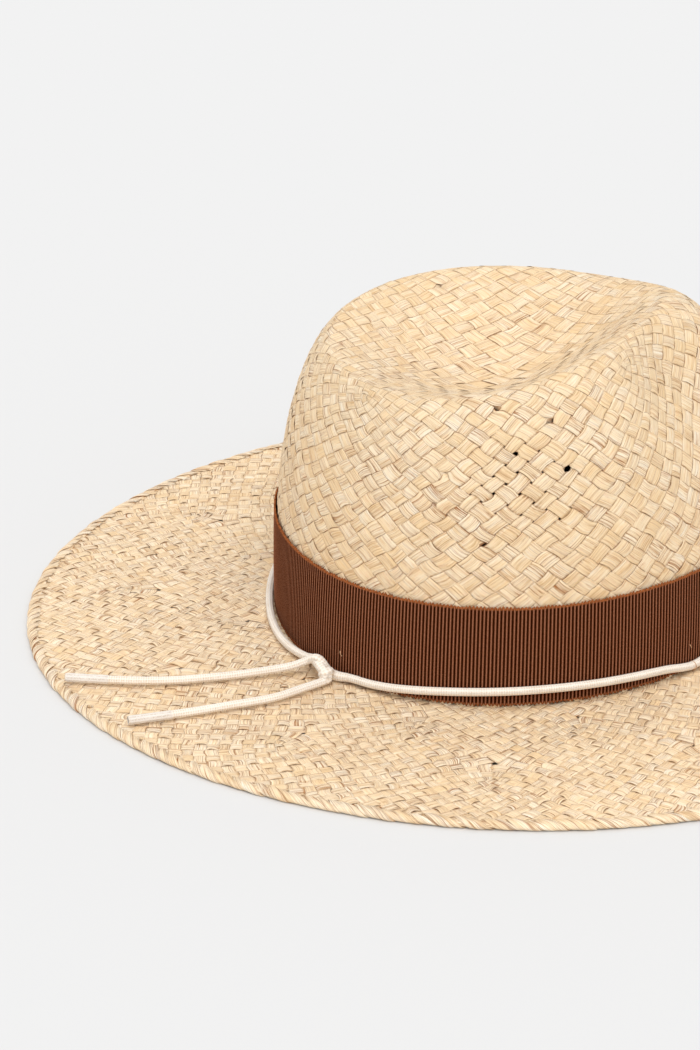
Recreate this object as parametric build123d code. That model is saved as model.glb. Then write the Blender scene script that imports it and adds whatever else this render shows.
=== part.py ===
from build123d import *
import os
from math import atan2, cos, degrees, exp, pi, radians, sin, tan

# Straw sun hat with a teardrop crown, lying on its brim.
# Millimetres. +Z is up, the wearer's face looks along -Y, the brim rests on z = 0.
# Angles go round the hat from the back (+Y) toward +X.

# Head opening, measured outside the straw at the line where crown and brim meet
head_half_length = 100.0
head_half_width = 89.5
head_egg = 0.09            # the back of the head oval is this share wider than its middle
head_centre_y = -3.5       # the crown stands a little forward of the middle of the brim

# Straw
straw_thick = 1.8
break_z = 4.0              # top of the brim where the crown rises from it
collar_height = 12.0       # brim straw turned up inside the crown
fit_gap = 0.15             # play between curved layers that are laid on each other

# Brim
brim_half_length = 195.0
brim_half_width = 178.0
brim_egg = -0.06           # the brim is a little fuller at the front
brim_thick = 1.6
brim_edge_top = 3.0        # top of the brim straw where the plaited edge begins
plait_width = 5.0
plait_thick = 3.4
plait_round = 1.5          # how far the rounded outer edge bulges
plait_facets = 6

# Crown
wall_top_z = 45.5          # the upright lower wall ends here, at the top of the ribbon
wall_lean = 1.8            # how far the upright wall leans in by that height
crest_half_width = 59.0
crest_half_length = 66.0
crest_centre_y = 10.0      # measured from the centre of the head oval
crest_taper = (0.32, -0.16)
crest_z = 124.0
crest_rise = 8.0           # the front of the crest is this much above its mean, the back below
shoulder_power = 1.57      # 1 is a straight slope, 2 an ellipse
front_power = 2.0
pinch_share = 0.60
pinch_angle = 138.0
pinch_spread = 22.0
dent_depth = 21.0
dent_centre_y = 10.0
dent_power = 0.8
dent_floor_share = 0.90    # the loft ends in a small flat at this share of the way in

# Ribbon, sweatband and thread
ribbon_height = 41.0
ribbon_thick = 0.6
ribbon_clear = 0.4         # the ribbon's lower edge stands this much above the brim
ribbon_rows = (0, 0.35, 0.7, 1)
ribbon_lap = 16.0
ribbon_lap_angle = 84.0
lap_reach = 10.0           # degrees each side of the lap over which the cord stands off
thread_space = 0.5         # room for the seam thread under the ribbon
sweatband_height = 32.0
sweatband_thick = 0.8
sweatband_seam_rise = 2.0  # height of that seam above the break
thread = 0.3
thread_clear = 0.12
stitch_length = 5.0
seam_stitches = 44
tack_width = 0.9
tack_length = 3.0
tack_rise = 10.0           # height of the ribbon's tacks above the break
ribbon_tack_angles = (-38, -121, 121, 30)

# Cord: one length that runs round the ribbon, is knotted at the back and leaves two tails
cord = 3.2
cord_gap = 0.35
knot_angle = -32.0
knot_height = 9.4
knot_out = 6.6
knot_size = 9.0
knot_entry = 0.25          # the ring's ends stop at this share of the way out of the knot
tip_sleeve = 17.5          # length of the whipped end of a tail
tip_wall = 0.25
cord_tack_angles = (-121, -239)
tack_wrap = 0.25           # radius of the thread wrapped over the cord
bend_share = 0.45          # an arc uses up this share of the shorter run beside it

# Route of the cord round the ribbon: angle and height of its middle, from knot to knot
ring_route = [
    (-38, 6.6), (-43, 6.7), (-49, 7.7), (-56, 9.2), (-63, 10.4), (-70, 11.1),
    (-77, 11.5), (-84, 11.7), (-91, 11.5), (-98, 11.1), (-105, 10.5), (-110, 9.9),
    (-114, 9.0), (-117.5, 7.4), (-121, 6.3), (-124.5, 6.9), (-129, 8.3), (-135, 9.5),
    (-142, 10.3), (-150, 10.7), (-158, 11.0), (-166, 10.8), (-174, 11.1), (-182, 10.7),
    (-190, 10.9), (-198, 10.5), (-206, 10.4), (-214, 9.9), (-222, 9.4), (-229, 8.5),
    (-235, 7.2), (-239, 6.3), (-243, 7.0), (-248, 8.6), (-255, 10.0), (-262, 10.9),
    (-270, 11.2), (-278, 11.3), (-286, 10.8), (-294, 10.1), (-302, 9.0), (-309, 7.8),
    (-317, 6.8), (-325, 6.2), (-333, 6.0), (-341, 5.9), (-349, 6.0), (-357, 5.9),
    (-364, 6.0), (-371, 5.9), (-377, 6.1), (-382, 6.6), (-386.5, 7.6),
]
# Routes of the two tails over the brim: middle of the cord, from the knot to the bare end
upper_tail_route = [
    (-53.0, 88.6, 9.4), (-49.8, 98.4, 7.9), (-48.7, 113.6, 6.2), (-48.9, 129.0, 5.8),
    (-47.9, 146.5, 5.6), (-43.6, 166.0, 5.5), (-37.5, 185.0, 5.55),
]
lower_tail_route = [
    (-57.0, 86.8, 8.7), (-64.6, 94.6, 6.7), (-69.6, 108.5, 6.0), (-71.2, 125.0, 5.7),
    (-73.8, 145.5, 5.5), (-75.1, 166.0, 5.45),
]

ring_points = 36           # points on each oval of a loft
angle_step = 0.001         # small steps for directions along a surface
surface_step = 0.01
wedge_depth = 20.0         # deeper than any wall that a wedge cuts


# ---------- plan curves of the hat ----------

def head_point(angle):
    """The head oval, an ellipse widened toward the back."""
    c = cos(angle)
    x = head_half_width * sin(angle) * (1 + head_egg * c)
    return Vector(x, head_centre_y + head_half_length * c)


def brim_point(angle):
    """The outer edge of the brim."""
    c = cos(angle)
    x = brim_half_width * sin(angle) * (1 + brim_egg * c)
    return Vector(x, brim_half_length * c)


def crest_point(angle):
    """The crest of the crown, a teardrop that narrows toward the front."""
    c = cos(angle)
    first, second = crest_taper
    x = crest_half_width * sin(angle) * (1 + first * c + second * c * c)
    return Vector(x, head_centre_y + crest_centre_y + crest_half_length * c)


def outward(curve, angle):
    """The unit normal of a plan curve, pointing away from the hat."""
    along = curve(angle + angle_step) - curve(angle - angle_step)
    return Vector(-along.Y, along.X).normalized()


def offset_point(curve, angle, out, z):
    """A point moved outward from a plan curve and lifted to a height."""
    p = curve(angle) + outward(curve, angle) * out
    return Vector(p.X, p.Y, z)


def ring_angles():
    return [2 * pi * i / ring_points for i in range(ring_points)]


def closed_wire(points):
    knots = [i / len(points) for i in range(len(points) + 1)]
    return Wire([Edge.make_spline(points, periodic=True, parameters=knots)])


def oval_wire(curve, out, z):
    return closed_wire([offset_point(curve, a, out, z) for a in ring_angles()])


def oval_slab(curve, out, z_low, z_high):
    """A straight-sided slab over a plan curve."""
    return extrude(Face(oval_wire(curve, out, z_low)), amount=z_high - z_low, dir=(0, 0, 1))


# ---------- surface of the crown ----------

def upright_share(z):
    return (z - break_z) / (wall_top_z - break_z)


def wall_offset(z):
    """How far the upright wall has moved out (negative: in) from the head oval at a height."""
    return -wall_lean * max(upright_share(z), 0) ** 1.5


def shoulder_point(turn, angle):
    """The wall from the top of the ribbon (turn 0) to the crest (turn 1)."""
    g = sin(turn * pi / 2)
    front = (0.5 - 0.5 * cos(angle)) ** 2
    power = shoulder_power + (front_power - shoulder_power) * front
    round_share = 1 - max(1 - g ** power, 0) ** (1 / power)
    hollow_share = g * g * (3 - 2 * g)
    off_front = abs(degrees(atan2(sin(angle), cos(angle))))
    pinch = pinch_share * exp(-(((off_front - pinch_angle) / pinch_spread) ** 2))
    inward = round_share * (1 - pinch) + hollow_share * pinch
    low = offset_point(head_point, angle, -wall_lean, 0)
    top = crest_point(angle)
    z = wall_top_z + (crest_height(angle) - wall_top_z) * g
    return Vector(low.X + (top.X - low.X) * inward, low.Y + (top.Y - low.Y) * inward, z)


def crest_height(angle):
    return crest_z - crest_rise * cos(angle)


def dent_point(share, angle):
    """The dent from the crest (share 0) to its lowest point (share 1)."""
    fall = (1 - cos(pi * share ** dent_power)) / 2
    top = crest_point(angle)
    centre_y = head_centre_y + dent_centre_y
    floor = crest_z - dent_depth
    z = crest_height(angle) + (floor - crest_height(angle)) * fall
    return Vector(top.X * (1 - share), top.Y * (1 - share) + centre_y * share, z)


def crown_point(along, angle):
    """The whole outer surface: 0-1 upright wall, 1-2 shoulder, 2-3 dent."""
    if along <= 1:
        z = break_z + (wall_top_z - break_z) * along
        return offset_point(head_point, angle, wall_offset(z), z)
    if along <= 2:
        return shoulder_point(along - 1, angle)
    return dent_point(along - 2, angle)


def straw_point(along, angle, depth):
    """A point in the crown's straw, at a depth below the outer surface."""
    here = crown_point(along, angle)
    up = crown_point(along + surface_step, angle) - crown_point(along - surface_step, angle)
    side = crown_point(along, angle + surface_step) - crown_point(along, angle - surface_step)
    return here + side.cross(up).normalized() * depth


def crown_ring(along, depth):
    points = [straw_point(along, a, depth) for a in ring_angles()]
    mean_z = sum(p.Z for p in points) / ring_points
    if along == 0 or along == crown_stations[-1]:
        points = [Vector(p.X, p.Y, mean_z) for p in points]
    return closed_wire(points)


crown_stations = [
    0, 0.5, 1, 1.12, 1.24, 1.36, 1.46, 1.56, 1.65, 1.73, 1.8, 1.87, 1.94, 2,
    2.05, 2.1, 2.16, 2.24, 2.34, 2.46, 2.6, 2.75, 2 + dent_floor_share,
]


def straw_crown():
    """The blocked crown: a lofted form less the same form one straw thickness inside."""
    outer = Solid.make_loft([crown_ring(s, 0) for s in crown_stations], ruled=True)
    inner = Solid.make_loft([crown_ring(s, straw_thick) for s in crown_stations], ruled=True)
    return outer - inner


# ---------- brim ----------

def upright_wall(inner, outer, heights):
    """A thin wall that follows the upright wall of the crown, between two offsets from it."""
    outside = [oval_wire(head_point, wall_offset(z) + outer, z) for z in heights]
    inside = [oval_wire(head_point, wall_offset(z) + inner, z) for z in heights]
    return Solid.make_loft(outside, ruled=True) - Solid.make_loft(inside, ruled=True)


def collar_inside():
    return -(straw_thick + fit_gap + brim_thick)


def straw_brim():
    """The gently sloping brim with the straw collar that is turned up inside the crown."""
    edge_low = brim_edge_top - brim_thick
    break_low = break_z - brim_thick
    rim = -plait_width
    top = Solid.make_loft([
        oval_wire(brim_point, rim, edge_low),
        oval_wire(brim_point, rim, brim_edge_top),
        oval_wire(head_point, 0, break_z),
    ], ruled=True)
    under = Solid.make_loft([
        oval_wire(brim_point, rim, edge_low),
        oval_wire(head_point, 0, break_low),
    ], ruled=True)
    hole = oval_slab(head_point, collar_inside(), 0, 2 * break_z)
    heights = (break_low, break_z, break_z + collar_height)
    collar = upright_wall(collar_inside(), collar_inside() + brim_thick, heights)
    return top - under - hole + collar


def brim_edge_plait():
    """The plaited edge that finishes the brim, flat underneath, where the hat rests."""
    outside = []
    for step in range(plait_facets + 1):
        turn = pi * step / plait_facets
        out = plait_round * (sin(turn) - 1)
        z = plait_thick / 2 * (1 - cos(turn))
        outside.append(oval_wire(brim_point, out, z))
    inside = oval_slab(brim_point, -plait_width, 0, plait_thick)
    return Solid.make_loft(outside, ruled=True) - inside


# ---------- ribbon, sweatband and thread ----------

def wedge(angle, width, z_low, z_high):
    """A block that cuts a short stretch out of an oval wall."""
    middle = offset_point(head_point, radians(angle), 0, (z_low + z_high) / 2)
    out = outward(head_point, radians(angle))
    turn = degrees(atan2(out.Y, out.X))
    return Location(middle, (0, 0, turn)) * Box(wedge_depth, width, z_high - z_low)


def ribbon_levels():
    low = break_z + ribbon_clear
    return [low + ribbon_height * share for share in ribbon_rows]


def lapped_wall(inner, thick, heights, lap_angle, lap):
    """A closed tape whose ends lap over each other for a short stretch."""
    tape = upright_wall(inner, inner + thick, heights)
    second = upright_wall(inner + thick, inner + 2 * thick, heights)
    return tape + (second & wedge(lap_angle, lap, heights[0], heights[-1]))


def grosgrain_ribbon():
    return lapped_wall(thread_space, ribbon_thick, ribbon_levels(), ribbon_lap_angle, ribbon_lap)


def sweatband():
    inner = collar_inside() - fit_gap - sweatband_thick
    low = break_z - brim_thick
    heights = (low, low + sweatband_height / 2, low + sweatband_height)
    return upright_wall(inner, inner + sweatband_thick, heights)


def thread_bar(angle, out, z, length, width):
    """One flat stitch lying along the wall."""
    middle = offset_point(head_point, radians(angle), wall_offset(z) + out, z)
    normal = outward(head_point, radians(angle))
    turn = degrees(atan2(normal.Y, normal.X))
    return Location(middle, (0, 0, turn)) * Box(thread, length, width)


def running_stitch(out, z):
    """A row of stitches round the whole head opening."""
    step = 360 / seam_stitches
    return [thread_bar(i * step, out, z, stitch_length, thread) for i in range(seam_stitches)]


def crown_seam():
    """The thread that holds the crown to the collar, hidden under the ribbon."""
    return running_stitch(thread_space / 2, break_z + collar_height / 2)


def sweatband_seam():
    out = collar_inside() - fit_gap - sweatband_thick - thread / 2 - thread_clear
    return running_stitch(out, break_z + sweatband_seam_rise)


def ribbon_tacks():
    """Short stitches that hold the ribbon to the straw, in pairs."""
    out = thread_space + ribbon_thick + thread / 2 + thread_clear / 2
    z = break_z + tack_rise
    return [thread_bar(angle, out, z, tack_width, tack_length) for angle in ribbon_tack_angles]


# ---------- cord ----------

def ring_out(angle, z):
    """The cord's middle stands off the ribbon, and a little more over the ribbon's lap."""
    near_lap = abs((angle % 360) - ribbon_lap_angle) < lap_reach
    layers = 2 if near_lap else 1
    return wall_offset(z) + thread_space + layers * ribbon_thick + cord / 2 + cord_gap


def cord_tube(points, diameter):
    """Straight runs joined by arcs that are as large as the runs allow."""
    places = [Vector(p) for p in points]
    radii = []
    for before, here, after in zip(places, places[1:], places[2:]):
        run_in = here - before
        run_out = after - here
        half_turn = radians(run_in.get_angle(run_out)) / 2
        radii.append(bend_share * min(run_in.length, run_out.length) / tan(half_turn))
    path = FilletPolyline(*places, radius=radii)
    section = Plane(origin=path @ 0, z_dir=path % 0) * Circle(diameter / 2)
    tube = sweep(section, path=path)
    expected = pi * diameter ** 2 / 4 * path.length
    print("length", round(path.length, 1), "least radius", round(min(radii), 1),
          "volume share", round(tube.volume / expected, 4))
    return tube


def ring_places():
    """The ring's route, with both ends led out into the knot."""
    places = [offset_point(head_point, radians(a), ring_out(a, z), z) for a, z in ring_route]
    middle = knot_middle()
    first = middle + (places[0] - middle) * knot_entry
    last = middle + (places[-1] - middle) * knot_entry
    return [first] + places + [last]


def knot_middle():
    return offset_point(head_point, radians(knot_angle), knot_out, knot_height)


def cord_knot():
    """The overhand knot as a plain lump, which the cord's four ends run into."""
    return Pos(knot_middle()) * Sphere(knot_size / 2)


def tip(route, tail):
    """The whipped end of a tail: a thin sleeve over its last stretch."""
    end = Vector(*route[-1])
    direction = (end - Vector(*route[-2])).normalized()
    start = Plane(origin=end - direction * tip_sleeve, z_dir=direction)
    sleeve = split(cord_tube(route, cord + 2 * tip_wall), bisect_by=start, keep=Keep.TOP)
    return sleeve - tail


def cord_tacks():
    """Thread wrapped over the cord where it is tacked down to the ribbon."""
    wraps = []
    for angle in cord_tack_angles:
        z = dict(ring_route)[angle]
        middle = offset_point(head_point, radians(angle), ring_out(angle, z), z)
        out = outward(head_point, radians(angle))
        plane = Plane(origin=middle, x_dir=(0, 0, 1), z_dir=Vector(-out.Y, out.X, 0))
        reach = cord / 2 + 2 * tack_wrap
        wraps.append(Solid.make_torus(reach, tack_wrap, plane, 0, 360, 180))
    return wraps


def save(name, shape):
    print(name)
    export_step(shape, f"parts/{name}.step")


os.makedirs("parts", exist_ok=True)

knot = cord_knot()
ring = cord_tube(ring_places(), cord) - knot
upper_tail = cord_tube(upper_tail_route, cord) - knot
lower_tail = cord_tube(lower_tail_route, cord) - knot

save("straw_crown", straw_crown())
save("straw_brim", straw_brim())
save("brim_edge_plait", brim_edge_plait())
save("crown_seam_thread", Compound(children=crown_seam()))
save("sweatband", sweatband())
save("sweatband_seam_thread", Compound(children=sweatband_seam()))
save("grosgrain_ribbon", grosgrain_ribbon())
save("ribbon_tacks", Compound(children=ribbon_tacks()))
save("trim_cord", ring)
save("cord_knot", knot)
save("cord_tail_upper", upper_tail)
save("cord_tail_lower", lower_tail)
save("tail_tip_upper", tip(upper_tail_route, upper_tail))
save("tail_tip_lower", tip(lower_tail_route, lower_tail))
save("cord_tacks", Compound(children=cord_tacks()))
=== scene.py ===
import bpy
import numpy as np
from mathutils import Matrix, Vector


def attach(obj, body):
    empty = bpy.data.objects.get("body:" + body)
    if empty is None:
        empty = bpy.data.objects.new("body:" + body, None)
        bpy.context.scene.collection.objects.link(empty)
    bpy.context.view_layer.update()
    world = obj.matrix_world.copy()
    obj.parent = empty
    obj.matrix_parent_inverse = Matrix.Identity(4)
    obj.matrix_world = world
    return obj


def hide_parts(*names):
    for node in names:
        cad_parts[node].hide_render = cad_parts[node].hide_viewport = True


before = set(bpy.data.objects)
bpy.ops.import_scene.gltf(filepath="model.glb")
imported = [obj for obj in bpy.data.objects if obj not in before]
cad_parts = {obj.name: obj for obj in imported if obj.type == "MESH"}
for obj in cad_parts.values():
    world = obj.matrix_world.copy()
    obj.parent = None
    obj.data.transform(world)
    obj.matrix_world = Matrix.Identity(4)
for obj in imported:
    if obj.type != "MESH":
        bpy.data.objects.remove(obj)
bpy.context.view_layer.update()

# Straw sun hat, lying on its brim. Lengths here are millimetres until a mesh is made.
# +Z is up, the wearer's face looks along -Y, angles go round from the back (+Y) toward +X.
metre = 0.001
halfTurn = np.pi
fullTurn = 2 * np.pi

# camera and light

cameraSetup = {
    "place": (-1.13048, 0.30405, 0.61513),
    "look": (0.87646, -0.18521, -0.44442),
    "roll": 0.549,
    "lens": 110.91,
    "sensor": 36.0,
}


def addObject(name, data):
    thing = bpy.data.objects.new(name, data)
    bpy.context.scene.collection.objects.link(thing)
    return thing


def makeCamera(setup):
    camera = bpy.data.cameras.new("studioCamera")
    camera.lens = setup["lens"]
    camera.sensor_fit = "VERTICAL"
    camera.sensor_height = setup["sensor"]
    camera.clip_end = 50
    cameraObject = addObject("studioCamera", camera)
    look = Vector(setup["look"]).normalized()
    right = look.cross(Vector((0, 0, 1))).normalized()
    up = right.cross(look)
    roll = np.radians(setup["roll"])
    rolledRight = right * np.cos(roll) + up * np.sin(roll)
    rolledUp = up * np.cos(roll) - right * np.sin(roll)
    turn = Matrix((rolledRight, rolledUp, -look)).transposed()
    cameraObject.matrix_world = Matrix.Translation(Vector(setup["place"])) @ turn.to_4x4()
    bpy.context.scene.camera = cameraObject


makeCamera(cameraSetup)
print("stage: camera")


# shader helpers

def tint(red, green, blue):
    # display values 0-255 to a linear colour
    share = np.array([red, green, blue]) / 255
    linear = np.where(share <= 0.04045, share / 12.92, ((share + 0.055) / 1.055) ** 2.4)
    return (*linear.tolist(), 1.0)


def level(value):
    return (value, value, value, 1.0)


class Signal:
    # one shader output; arithmetic on it adds Math nodes
    def __init__(self, tree, socket):
        self.tree = tree
        self.socket = socket

    def work(self, operation, first, second):
        node = self.tree.nodes.new("ShaderNodeMath")
        node.operation = operation
        for entry, value in zip(node.inputs, (first, second)):
            if isinstance(value, Signal):
                self.tree.links.new(value.socket, entry)
            else:
                entry.default_value = value
        return Signal(self.tree, node.outputs[0])

    def __add__(self, other):
        return self.work("ADD", self, other)

    def __radd__(self, other):
        return self.work("ADD", other, self)

    def __sub__(self, other):
        return self.work("SUBTRACT", self, other)

    def __rsub__(self, other):
        return self.work("SUBTRACT", other, self)

    def __mul__(self, other):
        return self.work("MULTIPLY", self, other)

    def __rmul__(self, other):
        return self.work("MULTIPLY", other, self)


class Finish:
    # a material being mixed: a Principled shader and the nodes before it
    def __init__(self, name, **fixed):
        self.material = bpy.data.materials.new(name)
        self.material.use_nodes = True
        self.tree = self.material.node_tree
        self.shader = self.tree.nodes["Principled BSDF"]
        for socket, value in fixed.items():
            self.shader.inputs[socket.replace("_", " ")].default_value = value

    def node(self, kind, settings=None, inputs=None, output=0):
        node = self.tree.nodes.new("ShaderNode" + kind)
        for key, value in (settings or {}).items():
            if key == "stops":
                while len(node.color_ramp.elements) < len(value):
                    node.color_ramp.elements.new(0.5)
                for element, (place, colour) in zip(node.color_ramp.elements, value):
                    element.position = place
                    element.color = colour
            else:
                setattr(node, key, value)
        for key, value in (inputs or {}).items():
            if isinstance(value, Signal):
                self.tree.links.new(value.socket, node.inputs[key])
            else:
                node.inputs[key].default_value = value
        return Signal(self.tree, node.outputs[output])

    def attribute(self, name):
        # the three numbers of a piece's own attribute
        vector = self.node("Attribute", {"attribute_name": name}, output="Vector")
        return [self.node("SeparateXYZ", inputs={0: vector}, output=i) for i in range(3)]

    def noise(self, place, scale=1.0, detail=2.0, roughness=0.5):
        # place is a vector, or its three numbers
        if isinstance(place, tuple):
            place = self.node("CombineXYZ", inputs=dict(enumerate(place)))
        return self.node("TexNoise", inputs={"Vector": place, "Scale": scale,
                                             "Detail": detail, "Roughness": roughness})

    def ramp(self, factor, *stops):
        return self.node("ValToRGB", {"stops": stops}, {0: factor})

    def rising(self, factor, low, high):
        # black up to low, white from high on
        return self.ramp(factor, (low, level(0.0)), (high, level(1.0)))

    def falling(self, factor, low, high):
        return self.ramp(factor, (low, level(1.0)), (high, level(0.0)))

    def math(self, operation, value):
        return self.node("Math", {"operation": operation}, {0: value})

    def mix(self, factor, first, second, blend="MIX"):
        settings = {"data_type": "RGBA", "blend_type": blend}
        return self.node("Mix", settings, {0: factor, 6: first, 7: second}, output=2)

    def set(self, socket, signal):
        self.tree.links.new(signal.socket, self.shader.inputs[socket])

    def bump(self, height, strength, distance):
        self.set("Normal", self.node("Bump", inputs={"Height": height, "Strength": strength,
                                                     "Distance": distance}))


# mesh helpers

def gridFaces(rows, columns, closeRows=False, closeColumns=False):
    # quads of a rows x columns grid, joined back to the start where it is closed
    r = np.arange(rows if closeRows else rows - 1)
    c = np.arange(columns if closeColumns else columns - 1)
    rr, cc = np.meshgrid(r, c, indexing="ij")
    corners = [(rr + i) % rows * columns + (cc + j) % columns
               for i, j in ((0, 0), (0, 1), (1, 1), (1, 0))]
    return np.stack(corners, -1).reshape(-1, 4)


def tubeFaces(rows, columns):
    # a tube of an even number of columns, its two ends closed with quads
    k = np.arange(columns // 2 - 1)
    cap = np.stack([k, k + 1, columns - 2 - k, columns - 1 - k], -1)
    sides = gridFaces(rows, columns, closeColumns=True)
    return np.concatenate([sides, cap, (cap + (rows - 1) * columns)[:, ::-1]])


def copiedFaces(faces, copies, size):
    # the same faces for every copy of a shape of size points
    return (faces[None] + (np.arange(copies) * size)[:, None, None]).reshape(-1, 4)


def triples(first, second, third):
    # three numbers for each point
    return np.stack(np.broadcast_arrays(first, second, third), -1).reshape(-1, 3)


def makePiece(name, points, faces, finish, node, lay=None, tone=None):
    # lay says where a point lies on its strip or cord, tone carries what its colour follows
    mesh = bpy.data.meshes.new(name)
    mesh.from_pydata(points.reshape(-1, 3) * metre, [], faces)
    for key, values in (("lay", lay), ("tone", tone)):
        if values is not None:
            layer = mesh.attributes.new(key, "FLOAT_VECTOR", "POINT")
            layer.data.foreach_set("vector", values.astype(np.float32).ravel())
    mesh.materials.append(finish.material)
    mesh.polygons.foreach_set("use_smooth", np.full(len(mesh.polygons), True))
    mesh.update()
    piece = addObject(name, mesh)
    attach(piece, "root")
    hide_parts(node)
    return piece


def unit(vectors):
    return vectors / np.maximum(np.linalg.norm(vectors, axis=-1, keepdims=True), 1e-9)


def running(steps):
    # the sum of the steps so far, from 0
    return np.concatenate([[0], np.cumsum(steps)])


def runLength(places):
    # how far along a line each of its points lies
    return running(np.linalg.norm(np.diff(places, axis=0), axis=1))


def fullCircle(count):
    return np.arange(count) / count * fullTurn


def bell(away, spread):
    # exp(-(away / spread) ^ 2)
    return np.exp(-(away / spread) ** 2)


def nearestRow(line, place):
    return int(np.argmin(np.linalg.norm(line - np.asarray(place), axis=1)))


def roundThread(middle, side, up, turn, radius):
    # a round profile: middle + radius * (cos of the turn * side - sin of the turn * up)
    circle = np.cos(turn) * side[..., None, :] - np.sin(turn) * up[..., None, :]
    return middle[..., None, :] + circle * radius


# plan curves and surfaces of the hat

hat = {
    "headLength": 100.0, "headWidth": 89.5, "headEgg": 0.09, "headCentre": -3.5,
    "brimLength": 195.0, "brimWidth": 178.0, "brimEgg": -0.06,
    "breakHeight": 4.0, "brimEdgeTop": 3.0, "plaitWidth": 5.0, "plaitThick": 3.4,
    "wallTop": 45.5, "wallLean": 1.8, "strawThick": 1.8,
    "crestWidth": 59.0, "crestLength": 66.0, "crestCentre": 10.0, "crestTaper": (0.32, -0.16),
    "crestHeight": 125.2, "crestRise": 8.0,
    "shoulderPower": 1.70, "frontPower": 2.0,  # roundness of the shoulder, back and front
    "pinchShare": 0.60, "pinchAngle": 138.0, "pinchSpread": 22.0,
    "dentDepth": 22.2, "dentCentre": 10.0, "dentPower": 0.8,
    "backTuck": 3.0, "tuckAngle": 12.0, "tuckPower": 7, "tuckRelease": 0.63,
}


def oval(a, width, length, centre, first, second=0.0):
    # an ellipse whose width also follows the cosine of the angle, and that cosine's square
    c = np.cos(a)
    x = width * np.sin(a) * (1 + first * c + second * c * c)
    return np.stack([x, centre + length * c], -1)


def headOval(a):
    return oval(a, hat["headWidth"], hat["headLength"], hat["headCentre"], hat["headEgg"])


def brimOval(a):
    return oval(a, hat["brimWidth"], hat["brimLength"], 0.0, hat["brimEgg"])


def crestOval(a):
    return oval(a, hat["crestWidth"], hat["crestLength"],
                hat["headCentre"] + hat["crestCentre"], *hat["crestTaper"])


def outward(curve, a):
    along = curve(a + 0.001) - curve(a - 0.001)
    return unit(np.stack([-along[..., 1], along[..., 0]], -1))


def raised(plan, z):
    return np.concatenate([plan, z[..., None]], -1)


def offsetPoint(curve, a, out, z):
    # a plan curve's point moved out along its normal and lifted to z
    a, out, z = np.broadcast_arrays(a, out, z)
    return raised(curve(a) + outward(curve, a) * out[..., None], z)


def rimPoint(a, out, z):
    return offsetPoint(brimOval, a, out, z)


def wallShare(z):
    # 0 at the foot of the upright wall, 1 at its top
    return (z - hat["breakHeight"]) / (hat["wallTop"] - hat["breakHeight"])


def wallOffset(z):
    # the wall leans in as its share of the height to the power of 1.5
    return -hat["wallLean"] * np.maximum(wallShare(z), 0) ** 1.5


def headPoint(a, out, z):
    # a point off the head oval; the tied cord draws the back of the wall in, most at its foot
    back = np.maximum(np.cos(a - np.radians(hat["tuckAngle"])), 0) ** hat["tuckPower"]
    tuck = hat["backTuck"] * back * (1 - hat["tuckRelease"] * np.clip(wallShare(z), 0, 1))
    return offsetPoint(headOval, a, out - tuck, z)


def crownSurface(along, a):
    # 0-1 upright wall, 1-2 shoulder from the wall up to the crest, 2-3 dent down to its middle.
    # The shoulder is a superellipse, mixed with a hollow curve at the pinches.
    foot, top = hat["breakHeight"], hat["wallTop"]
    z = foot + (top - foot) * along
    wall = headPoint(a, wallOffset(z), z)
    g = np.sin(np.clip(along - 1, 0, 1) * halfTurn / 2)
    front = (0.5 - 0.5 * np.cos(a)) ** 2
    power = hat["shoulderPower"] + (hat["frontPower"] - hat["shoulderPower"]) * front
    roundShare = 1 - np.maximum(1 - g ** power, 0) ** (1 / power)
    hollowShare = g * g * (3 - 2 * g)
    offFront = np.abs(np.degrees(np.arctan2(np.sin(a), np.cos(a))))
    pinch = hat["pinchShare"] * bell(offFront - hat["pinchAngle"], hat["pinchSpread"])
    inward = roundShare * (1 - pinch) + hollowShare * pinch
    low = headPoint(a, -hat["wallLean"], 0 * a + top)[..., :2]
    crest = crestOval(a)
    crestZ = hat["crestHeight"] - hat["crestRise"] * np.cos(a)
    shoulder = raised(low + (crest - low) * inward[..., None], top + (crestZ - top) * g)
    share = np.clip(along - 2, 0, 1)
    fall = (1 - np.cos(halfTurn * share ** hat["dentPower"])) / 2
    middle = np.array([0, hat["headCentre"] + hat["dentCentre"]])
    plan = crest * (1 - share)[..., None] + middle * share[..., None]
    depth = crestZ + (hat["crestHeight"] - hat["dentDepth"] - crestZ) * fall
    zone = along[..., None]
    return np.where(zone <= 1, wall, np.where(zone <= 2, shoulder, raised(plan, depth)))


def brimSurface(along, a):
    # a straight slope from the foot of the crown (0) to the plaited edge (1);
    # a little under 0 it lies under the crown's wall, a little over 1 under the plait
    inside = headPoint(a, 0 * a, 0 * a + hat["breakHeight"])
    outside = rimPoint(a, 0 * a - hat["plaitWidth"], 0 * a + hat["brimEdgeTop"])
    return inside + (outside - inside) * along[..., None]


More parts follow.
